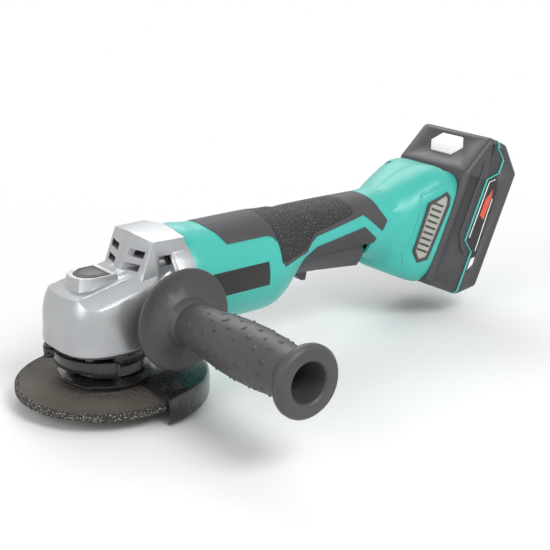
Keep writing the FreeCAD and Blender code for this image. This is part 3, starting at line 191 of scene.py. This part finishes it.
# %% A maker of finishes
def finish(name, colour, rough, metal=0.0, grain=900.0, grain_depth=0.15, cloud=0.06, spread=0.08, coat=0.0,
           specular=0.5):
    """A node material on object coordinates: cloudy colour, uneven roughness and a fine grain bump."""
    material = bpy.data.materials.new(name)
    material.use_nodes = True
    nodes, links = material.node_tree.nodes, material.node_tree.links
    shader = nodes["Principled BSDF"]
    shader.inputs["Metallic"].default_value = metal
    shader.inputs["Specular IOR Level"].default_value = specular
    shader.inputs["Coat Weight"].default_value = coat
    coords = nodes.new("ShaderNodeTexCoord")
    big = nodes.new("ShaderNodeTexNoise")
    big.inputs["Scale"].default_value = 28.0
    big.inputs["Detail"].default_value = 5.0
    links.new(coords.outputs["Object"], big.inputs["Vector"])
    ramp = nodes.new("ShaderNodeValToRGB")
    ramp.name = "tone"
    low = [max(0.0, c * (1 - cloud * 1.6)) for c in colour]
    high = [min(1.0, c * (1 + cloud)) for c in colour]
    ramp.color_ramp.elements[0].position, ramp.color_ramp.elements[1].position = 0.32, 0.68
    ramp.color_ramp.elements[0].color = (*low, 1)
    ramp.color_ramp.elements[1].color = (*high, 1)
    links.new(big.outputs["Fac"], ramp.inputs["Fac"])
    links.new(ramp.outputs["Color"], shader.inputs["Base Color"])
    fine = nodes.new("ShaderNodeTexNoise")
    fine.inputs["Scale"].default_value = grain
    fine.inputs["Detail"].default_value = 3.0
    links.new(coords.outputs["Object"], fine.inputs["Vector"])
    roughness = nodes.new("ShaderNodeMapRange")
    roughness.inputs["To Min"].default_value = max(0.02, rough - spread)
    roughness.inputs["To Max"].default_value = min(1.0, rough + spread)
    links.new(fine.outputs["Fac"], roughness.inputs["Value"])
    links.new(roughness.outputs["Result"], shader.inputs["Roughness"])
    bump = nodes.new("ShaderNodeBump")
    bump.name = "grain"
    bump.inputs["Strength"].default_value = grain_depth
    bump.inputs["Distance"].default_value = 0.0004
    links.new(fine.outputs["Fac"], bump.inputs["Height"])
    links.new(bump.outputs["Normal"], shader.inputs["Normal"])
    return material


def linear(r, g, b):
    """Colour given as 0 to 255 screen values, as the renderer counts it."""
    return tuple(((c / 255 + 0.055) / 1.055) ** 2.4 if c > 10 else c / 255 / 12.92 for c in (r, g, b))


finishes = {
    "teal_plastic": finish("teal_plastic", linear(66, 184, 172), 0.36, grain=1500, grain_depth=0.08,
                           cloud=0.03),
    "dark_plastic": finish("dark_plastic", linear(68, 66, 69), 0.44, grain=1600, grain_depth=0.2, cloud=0.05),
    "soft_grip": finish("soft_grip", linear(64, 62, 64), 0.58, grain=1400, grain_depth=0.35, cloud=0.06),
    "cast_alloy": finish("cast_alloy", linear(172, 174, 176), 0.33, metal=0.7, grain=1000, grain_depth=0.22,
                         cloud=0.05),
    "black_steel": finish("black_steel", linear(27, 28, 29), 0.28, grain=900, grain_depth=0.04, coat=0.3),
    "steel": finish("steel", linear(150, 150, 152), 0.34, metal=1.0, grain=1200, grain_depth=0.1),
    "zinc_screw": finish("zinc_screw", linear(84, 82, 80), 0.35, metal=1.0, grain=1200, grain_depth=0.15),
    "wheel_abrasive": finish("wheel_abrasive", linear(90, 84, 76), 0.82, grain=1500, grain_depth=0.8,
                             cloud=0.12),
    "handle_plastic": finish("handle_plastic", linear(66, 66, 65), 0.46, grain=1500, grain_depth=0.16),
    "black_plate": finish("black_plate", linear(32, 30, 30), 0.30, grain=1500, grain_depth=0.05),
    "white_plastic": finish("white_plastic", linear(240, 240, 238), 0.35, grain=1500, grain_depth=0.05,
                            cloud=0.01),
    "grey_panel": finish("grey_panel", linear(176, 176, 168), 0.5, grain=1500, grain_depth=0.2),
    "iron_core": finish("iron_core", linear(90, 90, 92), 0.5, metal=0.8, grain=900, grain_depth=0.2),
    "copper": finish("copper", linear(190, 110, 62), 0.35, metal=1.0, grain=900, grain_depth=0.3),
    "circuit_board": finish("circuit_board", linear(30, 96, 62), 0.4, grain=700, grain_depth=0.2),
    "cell_wrap": finish("cell_wrap", linear(60, 120, 180), 0.4, grain=900, grain_depth=0.05),
    "nickel": finish("nickel", linear(190, 186, 176), 0.3, metal=1.0, grain=900, grain_depth=0.1),
    "spring_steel": finish("spring_steel", linear(140, 140, 144), 0.3, metal=1.0, grain=900, grain_depth=0.1),
    "bronze": finish("bronze", linear(170, 130, 74), 0.45, metal=1.0, grain=900, grain_depth=0.2),
}
white_ink = finish("white_ink", linear(244, 244, 242), 0.45, grain=1500, grain_depth=0.03, cloud=0.01)
orange_ink = finish("orange_ink", linear(222, 88, 58), 0.45, grain=1500, grain_depth=0.03, cloud=0.03)
seam_dark = finish("seam_dark", linear(26, 30, 32), 0.6, grain=1500, grain_depth=0.05)
print(len(finishes), "finishes")

# %% [markdown]
# ## The grinding wheel's face
# The wheel is pressed resin and grit over a woven mesh. Its face has soft wrinkles that run outwards on the
# slope round the hub, and the resin is thin at the rim, where bright grains show. Distance from the spindle
# axis and the angle round it come from the object's own coordinates.

# %% Wheel finish
def add_bump(tree, height, depth, strength=1.0):
    """A second bump on top of the grain bump of a finish."""
    bump = tree.nodes.new("ShaderNodeBump")
    bump.inputs["Strength"].default_value = strength
    bump.inputs["Distance"].default_value = depth
    shader = tree.nodes["Principled BSDF"]
    before = shader.inputs["Normal"].links[0].from_socket
    tree.links.new(height, bump.inputs["Height"])
    tree.links.new(before, bump.inputs["Normal"])
    tree.links.new(bump.outputs["Normal"], shader.inputs["Normal"])


def split(tree):
    """X, Y and Z of the object coordinates."""
    coords = tree.nodes.new("ShaderNodeTexCoord")
    parts = tree.nodes.new("ShaderNodeSeparateXYZ")
    tree.links.new(coords.outputs["Object"], parts.inputs[0])
    return parts.outputs


def joined(tree, x, y, z=0.0):
    node = tree.nodes.new("ShaderNodeCombineXYZ")
    for k, value in enumerate((x, y, z)):
        if isinstance(value, (int, float)):
            node.inputs[k].default_value = value
        else:
            tree.links.new(value, node.inputs[k])
    return node.outputs[0]


def noise(tree, vector, scale, detail=2.0):
    node = tree.nodes.new("ShaderNodeTexNoise")
    node.inputs["Scale"].default_value = scale
    node.inputs["Detail"].default_value = detail
    tree.links.new(vector, node.inputs["Vector"])
    return node.outputs["Fac"]


def tint(tree, factor, colour):
    """Lay a colour over the base colour of a finish where factor is one."""
    shader = tree.nodes["Principled BSDF"]
    mix = tree.nodes.new("ShaderNodeMix")
    mix.data_type = "RGBA"
    before = shader.inputs["Base Color"].links[0].from_socket
    tree.links.new(factor, mix.inputs["Factor"])
    tree.links.new(before, mix.inputs["A"])
    mix.inputs["B"].default_value = (*colour, 1)
    tree.links.new(mix.outputs["Result"], shader.inputs["Base Color"])


SLOPE_START, SLOPE_STOP, RIM = (0.020, 0.026), (0.036, 0.054), (0.0585, 0.0605)
tree = finishes["wheel_abrasive"].node_tree
x, y, z = split(tree)
radius = calc(tree, "SQRT", calc(tree, "ADD", calc(tree, "MULTIPLY", x, x), calc(tree, "MULTIPLY", y, y)))
turn = calc(tree, "ARCTAN2", y, x)
round_hub, outwards = calc(tree, "MULTIPLY", turn, 9.0), calc(tree, "MULTIPLY", radius, 60.0)
wrinkles = noise(tree, joined(tree, round_hub, outwards), 1.6)
on_slope = calc(tree, "SUBTRACT", ramp_up(tree, radius, *SLOPE_START), ramp_up(tree, radius, *SLOPE_STOP))
add_bump(tree, calc(tree, "MULTIPLY", wrinkles, on_slope), 0.0040)
grains = tree.nodes.new("ShaderNodeTexVoronoi")
grains.inputs["Scale"].default_value = 850.0
tree.links.new(joined(tree, x, y, z), grains.inputs["Vector"])
bright = calc(tree, "LESS_THAN", grains.outputs["Distance"], 0.26)
at_rim = ramp_up(tree, radius, *RIM)
tint(tree, at_rim, linear(52, 49, 45))
tint(tree, calc(tree, "MULTIPLY", bright, at_rim), linear(206, 202, 190))
add_bump(tree, calc(tree, "MULTIPLY", grains.outputs["Distance"], at_rim), 0.0006)
tint(tree, calc(tree, "MULTIPLY", calc(tree, "GREATER_THAN", noise(tree, joined(tree, x, y, z), 420.0), 0.66),
                0.5), linear(60, 56, 50))
print("wheel finish has", len(tree.nodes), "nodes")

# %% [markdown]
# ## Leather grain on the rear grip
# The rear grip pad has a grained field with a smooth border round it. The field is the area above a line that
# follows the lower edge of the pad a little inside it, and ahead of the flare of the foot. The creases between
# the pebbles of the grain get painted shade.

# %% Grip finish
FIELD_LINE = [(0.121, 0.0630), (0.126, 0.0620), (0.150, 0.0650), (0.153, 0.0705), (0.1585, 0.0752),
              (0.199, 0.0818)]
FIELD_END, FIELD_FADE = 0.1975, 0.0006
FIELD_LOW, FIELD_HIGH = 0.05, 0.09
CELL_SCALE = 430.0


def line_height(tree, x, line, low, high):
    """Height of a broken line over x, held in the stops of a colour ramp."""
    start, end = line[0][0], line[-1][0]
    share = calc(tree, "DIVIDE", calc(tree, "SUBTRACT", x, start), end - start)
    ramp = tree.nodes.new("ShaderNodeValToRGB")
    stops = ramp.color_ramp.elements
    for k, (px, pz) in enumerate(line):
        at, grey = (px - start) / (end - start), (pz - low) / (high - low)
        stop = stops[0] if k == 0 else stops[-1] if k == len(line) - 1 else stops.new(at)
        stop.position = at
        stop.color = (grey, grey, grey, 1)
    tree.links.new(share, ramp.inputs["Fac"])
    return calc(tree, "ADD", calc(tree, "MULTIPLY", ramp.outputs["Color"], high - low), low)


grip_field = finish("grip_field", linear(66, 64, 66), 0.55, grain=1400, grain_depth=0.25, cloud=0.06)
tree = grip_field.node_tree
x, y, z = split(tree)
over = calc(tree, "SUBTRACT", z, line_height(tree, x, FIELD_LINE, FIELD_LOW, FIELD_HIGH))
inside = calc(tree, "MULTIPLY", ramp_up(tree, over, 0.0, FIELD_FADE),
              calc(tree, "SUBTRACT", 1.0, ramp_up(tree, x, FIELD_END - FIELD_FADE, FIELD_END)))
cells = tree.nodes.new("ShaderNodeTexVoronoi")
cells.feature = "DISTANCE_TO_EDGE"
cells.inputs["Scale"].default_value = CELL_SCALE
tree.links.new(joined(tree, x, y, z), cells.inputs["Vector"])
pebbles = ramp_up(tree, cells.outputs["Distance"], 0.0, 0.22)
add_bump(tree, calc(tree, "MULTIPLY", pebbles, inside), 0.0011)
# Painted shade: the creases between the pebbles are darkened, as if shade fell in them.
crease_shade = calc(tree, "MULTIPLY", calc(tree, "SUBTRACT", 1.0, pebbles), inside)
tint(tree, calc(tree, "MULTIPLY", crease_shade, 0.75), linear(30, 28, 30))
print("grip finish has", len(tree.nodes), "nodes")

# %% [markdown]
# ## Finishes on the CAD pieces
# The record says which material slot each node takes, so each node gets the finish of the same name.

# %% Put the finishes on
slots = {part["node"]: part["material_slot"] for part in frame["record"]["subparts"]}
for node, piece in frame["nodes"].items():
    piece.data.materials.clear()
    piece.data.materials.append(finishes[slots[node]])
print(len(slots), "nodes finished")

# %% [markdown]
# ## Rounded edges on hard pieces
# No cast or moulded piece has knife edges: each edge is a little round and catches a thin line of light. A
# copy of the node's mesh is merged into one skin, its flat areas are joined, and a bevel rounds every edge
# that is sharper than a set angle. A width of zero only merges the copy. This keeps the true shape and adds
# what the eye looks for.

# %% A helper that rounds edges
bodies = frame["record"]["behaviour"]["bodies"]
body_of_node = {node: body for body, nodes in bodies.items() for node in nodes}
SAME_POINT = 0.00001
SHARP = 32.0
SMOOTH_BELOW = {"gear_case": 20.0}


def rounded(node, width, angle=SHARP, segments=2, flat=1.5):
    """Copy of a node with its edges rounded by width metres, riding on the node's body in its place."""
    bpy.ops.object.select_all(action="DESELECT")
    source = frame["nodes"][node]
    piece = source.copy()
    piece.data = source.data.copy()
    piece.name = node + "_fine"
    bpy.context.scene.collection.objects.link(piece)
    bpy.context.view_layer.objects.active = piece
    piece.select_set(True)
    bpy.ops.object.mode_set(mode="EDIT")
    bpy.ops.mesh.select_all(action="SELECT")
    bpy.ops.mesh.remove_doubles(threshold=SAME_POINT)
    if width:
        bpy.ops.mesh.dissolve_limited(angle_limit=math.radians(flat))
    bpy.ops.object.mode_set(mode="OBJECT")
    if width:
        bevel = piece.modifiers.new("edge", "BEVEL")
        bevel.width = width
        bevel.segments = segments
        bevel.limit_method = "ANGLE"
        bevel.angle_limit = math.radians(angle)
        bevel.use_clamp_overlap = True
        bpy.ops.object.modifier_apply(modifier="edge")
    bpy.ops.object.shade_smooth_by_angle(angle=math.radians(SMOOTH_BELOW.get(node, SHARP)))
    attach(piece, body_of_node[node])
    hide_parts(node)
    return piece


EDGES = {
    "gear_case": 0.0006, "bearing_box": 0.0005, "wheel_guard": 0.0003, "guard_band": 0.0003,
    "clamp_lever": 0.0006, "clamp_pin": 0.0002, "clamp_nut": 0.0003, "lock_button": 0.0004,
    "gear_case_screws": 0.0002, "housing_left": 0.0003, "housing_right": 0.0003, "top_pad": 0.0004,
    "rear_pad": 0.0004, "under_pad": 0.0004, "label_plates": 0.0002, "vent_frames": 0.0004,
    "vent_panels": 0.0002, "paddle": 0.0006, "lockoff_lever": 0.0005, "battery_front_shell": 0.0,
    "battery_rear_shell": 0.0, "battery_trim": 0.0002, "battery_pads": 0.0004, "battery_labels": 0.0,
    "release_button": 0.0008, "battery_mount": 0.0004, "handle_core": 0.0003, "handle_sleeve": 0.0,
}
fine = {node: rounded(node, width) for node, width in EDGES.items()}
print(sum(len(piece.data.polygons) for piece in fine.values()), "faces in rounded pieces")

fine["rear_pad"].data.materials.clear()
fine["rear_pad"].data.materials.append(grip_field)

# %% [markdown]
# ## Raised lines on the skin
# A moulded line is a round bead half sunk in the surface. Its path is drawn in a side view or from above,
# pressed onto the piece below it with a shrinkwrap, and then given its thickness.

# %% A helper for beads
SIDES = ((-1, "left"), (1, "right"))
LEAN = math.radians(25.0)
OUTSIDE = 0.06


def new_path(name, points):
    """Curve of straight runs through the points."""
    curve = bpy.data.curves.new(name, "CURVE")
    curve.dimensions = "3D"
    spline = curve.splines.new("POLY")
    spline.points.add(len(points) - 1)
    for spot, point in zip(spline.points, points):
        spot.co = (*point, 1)
    piece = bpy.data.objects.new(name, curve)
    bpy.context.scene.collection.objects.link(piece)
    bpy.ops.object.select_all(action="DESELECT")
    bpy.context.view_layer.objects.active = piece
    piece.select_set(True)
    return piece


def spaced(points, step=0.0015):
    """The same path with points at most step apart."""
    path = [Vector(points[0])]
    for a, b in zip(points, points[1:]):
        a, b = Vector(a), Vector(b)
        count = max(1, math.ceil((b - a).length / step))
        path += [a + (b - a) * (k / count) for k in range(1, count + 1)]
    return path


def bead(name, points, radius, target, axis, body, material, sink=0.0, positive=True):
    """Raised round line of a radius, pressed along an axis onto the target piece."""
    piece = new_path(name, spaced(points))
    bpy.ops.object.convert(target="MESH")
    piece = bpy.context.object
    wrap = piece.modifiers.new("press", "SHRINKWRAP")
    wrap.target = target
    wrap.wrap_method = "PROJECT"
    wrap.use_project_x = axis == "X"
    wrap.use_project_y = axis == "Y"
    wrap.use_project_z = axis == "Z"
    wrap.use_positive_direction = positive
    wrap.use_negative_direction = not positive
    wrap.offset = -sink
    bpy.ops.object.modifier_apply(modifier="press")
    bpy.ops.object.convert(target="CURVE")
    piece = bpy.context.object
    piece.data.bevel_depth = radius
    piece.data.bevel_resolution = 2
    bpy.ops.object.convert(target="MESH")
    piece = bpy.context.object
    bpy.ops.object.shade_smooth()
    piece.data.materials.clear()
    piece.data.materials.append(material)
    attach(piece, body)
    return piece


def lean_point(n, u):
    """Side view place of a point of the leaning foot and battery: n along the normal, u up the slide."""
    return (u * math.sin(LEAN) + n * math.cos(LEAN), u * math.cos(LEAN) - n * math.sin(LEAN))


def side_path(points, side):
    """A path of the side view, set outside the skin so that it can be pressed onto it."""
    return [(x, OUTSIDE * side, z) for x, z in points]


# %% [markdown]
# ## The beads in their places
# Dark seams run round the grip field and the lock button. A raised line frames each side vent, the gear case
# has one along each edge of its roof, and the battery has a ridge with a dark groove in front of it.

# %% Beads of the housing, the grip and the button
SEAM_R, RIDGE_R, ROOF_R, ROOF_SINK = 0.0004, 0.0014, 0.0007, 0.0003
FIELD_EDGE = [(0.1233, 0.0865), (0.1233, 0.0640), (0.1262, 0.0618), (0.1498, 0.0646), (0.1530, 0.0702),
              (0.1584, 0.0749), (0.1935, 0.0805), (0.1968, 0.0822), (0.1980, 0.0860)]
RIDGE = [(219.5, 203.5), (212.6, 203.2), (196.8, 188.0), (197.4, 142.0), (204.0, 133.6)]
ridge_line = [lean_point(n / 1000, u / 1000) for n, u in RIDGE]
for side, word in SIDES:
    bead("field_edge_" + word, side_path(FIELD_EDGE, side), SEAM_R, fine["rear_pad"], "Y", "tool_body",
         seam_dark, sink=SEAM_R / 2, positive=side < 0)
    bead("foot_ridge_" + word, side_path(ridge_line, side), RIDGE_R, fine["housing_" + word], "Y", "tool_body",
         finishes["teal_plastic"], sink=RIDGE_R / 2, positive=side < 0)
BUTTON_EDGE = [(-0.0038, -0.0088), (-0.0038, 0.0088), (-0.0125, 0.0088), (-0.0164, 0.0062), (-0.0188, 0.0024),
               (-0.0188, -0.0024), (-0.0164, -0.0062), (-0.0125, -0.0088), (-0.0038, -0.0088)]
bead("button_edge", [(x, y, 0.09) for x, y in BUTTON_EDGE], SEAM_R, fine["lock_button"], "Z", "lock_button",
     seam_dark, sink=SEAM_R / 2, positive=False)
for side, word in SIDES:
    edge = [(-0.0275, 0.0190 * side, 0.1), (0.0045, 0.0195 * side, 0.1)]
    bead("roof_edge_" + word, edge, ROOF_R, fine["gear_case"], "Z", "tool_body", finishes["cast_alloy"],
         sink=ROOF_SINK, positive=False)
PACK_RIDGE = [(242.6, 229.0), (243.8, 222.0), (243.8, 171.0), (250.0, 161.5), (256.0, 157.5)]
for shift, radius, name, material in ((0.0, 0.0013, "pack_ridge", finishes["dark_plastic"]),
                                      (-2.0, 0.0005, "pack_groove", seam_dark)):
    path = [lean_point((n + shift) / 1000, u / 1000) for n, u in PACK_RIDGE]
    for side, word in SIDES:
        bead(name + "_" + word, side_path(path, side), radius, fine["battery_front_shell"], "Y", "battery",
             material, sink=radius * 0.5, positive=side < 0)

# %% [markdown]
# ## Printed areas on the battery label
# Each printed area is a thin flat plate on the label's flat face: a white line in front, one behind, a warm
# coloured block above and a white block below. They carry no lettering.

# %% A helper for printed areas
LABEL_Y = 0.0381
INK = 0.00004


def printed(name, outline, y, material, body="battery"):
    """Thin plate across Y with an outline given in the upright frame of the battery, in millimetres."""
    points = [lean_point(n / 1000, u / 1000) for n, u in outline]
    curve = bpy.data.curves.new(name, "CURVE")
    curve.dimensions = "2D"
    curve.fill_mode = "BOTH"
    curve.extrude = INK
    spline = curve.splines.new("POLY")
    spline.points.add(len(points) - 1)
    spline.use_cyclic_u = True
    for spot, (x, z) in zip(spline.points, points):
        spot.co = (x, z, 0, 1)
    piece = bpy.data.objects.new(name, curve)
    bpy.context.scene.collection.objects.link(piece)
    bpy.ops.object.select_all(action="DESELECT")
    bpy.context.view_layer.objects.active = piece
    piece.select_set(True)
    bpy.ops.object.convert(target="MESH")
    piece = bpy.context.object
    piece.rotation_euler = (math.pi / 2, 0, 0)
    piece.location = (0, y, 0)
    bpy.ops.object.transform_apply(location=True, rotation=True, scale=True)
    piece.data.materials.clear()
    piece.data.materials.append(material)
    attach(piece, body)
    return piece


def stripe(points, width):
    """Outline of a line of a width through points, offset to one side."""
    return points + [(n + width, u) for n, u in reversed(points)]


INKED = {
    "front_line": (stripe([(254.2, 171.0), (254.2, 216.6), (259.8, 220.6)], 1.0), white_ink),
    "rear_line": (stripe([(265.9, 163.0), (264.0, 206.0)], 0.9), white_ink),
    "warm_block": ([(257.4, 190.0), (263.0, 188.0), (263.0, 207.0), (261.2, 213.0), (259.6, 207.5),
                    (257.4, 204.0)], orange_ink),
    "pale_block": ([(264.9, 146.6), (268.9, 152.4), (268.5, 158.6), (264.9, 156.0)], white_ink),
}
for side, word in SIDES:
    for name, (outline, material) in INKED.items():
        printed(name + "_" + word, outline, side * (LABEL_Y + INK), material)
print("printed areas done")

# %% [markdown]
# ## Nubs of the side handle and mesh of the vents
# The soft sleeve has rows of small domes, set half a pitch apart from row to row. Each is a small sphere
# sunk in the sleeve.
# Behind the slots of each side vent lies a fine dark mesh.

# %% Nubs and mesh
HANDLE_X, HANDLE_Z = 0.0287, 0.046
SLEEVE = [(0.062, 0.0146), (0.072, 0.0149), (0.090, 0.0166), (0.108, 0.0182), (0.125, 0.0186),
          (0.142, 0.0179), (0.158, 0.0164)]
NUB_R, NUB_ROWS, NUBS_ROUND, NUB_START, NUB_PITCH = 0.0011, 9, 12, 0.076, 0.0096
NUB_SINK = 0.0004


def sleeve_radius(along):
    """Radius of the sleeve at a distance from the spindle axis along the handle."""
    for (s0, r0), (s1, r1) in zip(SLEEVE, SLEEVE[1:]):
        if s0 <= along <= s1:
            return r0 + (r1 - r0) * (along - s0) / (s1 - s0)


bpy.ops.object.select_all(action="DESELECT")
nubs = []
for row in range(NUB_ROWS):
    along = NUB_START + NUB_PITCH * row
    for k in range(NUBS_ROUND):
        angle = 2 * math.pi / NUBS_ROUND * (k + 0.5 * (row % 2))
        reach = sleeve_radius(along) - NUB_SINK
        bpy.ops.mesh.primitive_uv_sphere_add(
            segments=14, ring_count=8, radius=NUB_R,
            location=(HANDLE_X + reach * math.cos(angle), -along, HANDLE_Z + reach * math.sin(angle)))
        nubs.append(bpy.context.object)
for nub in nubs:
    nub.select_set(True)
bpy.context.view_layer.objects.active = nubs[0]
bpy.ops.object.join()
bpy.ops.object.transform_apply(location=True, rotation=True, scale=True)
bpy.ops.object.shade_smooth()
nub_piece = bpy.context.object
nub_piece.name = "handle_nubs"
nub_piece.data.materials.append(finishes["handle_plastic"])
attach(nub_piece, "tool_body")

mesh_grey = finish("mesh_grey", linear(112, 112, 106), 0.6, grain=1500, grain_depth=0.3)
VENT_MESH_Y = 0.0334
VENT_BACK = [(204.6, 147.0), (211.6, 141.2), (219.3, 145.0), (221.6, 188.3), (219.6, 193.4), (216.0, 194.6),
             (203.6, 183.2)]
for side, word in SIDES:
    printed("vent_mesh_" + word, VENT_BACK, side * VENT_MESH_Y, mesh_grey, "tool_body")
print(len(nubs), "nubs and two vent meshes")
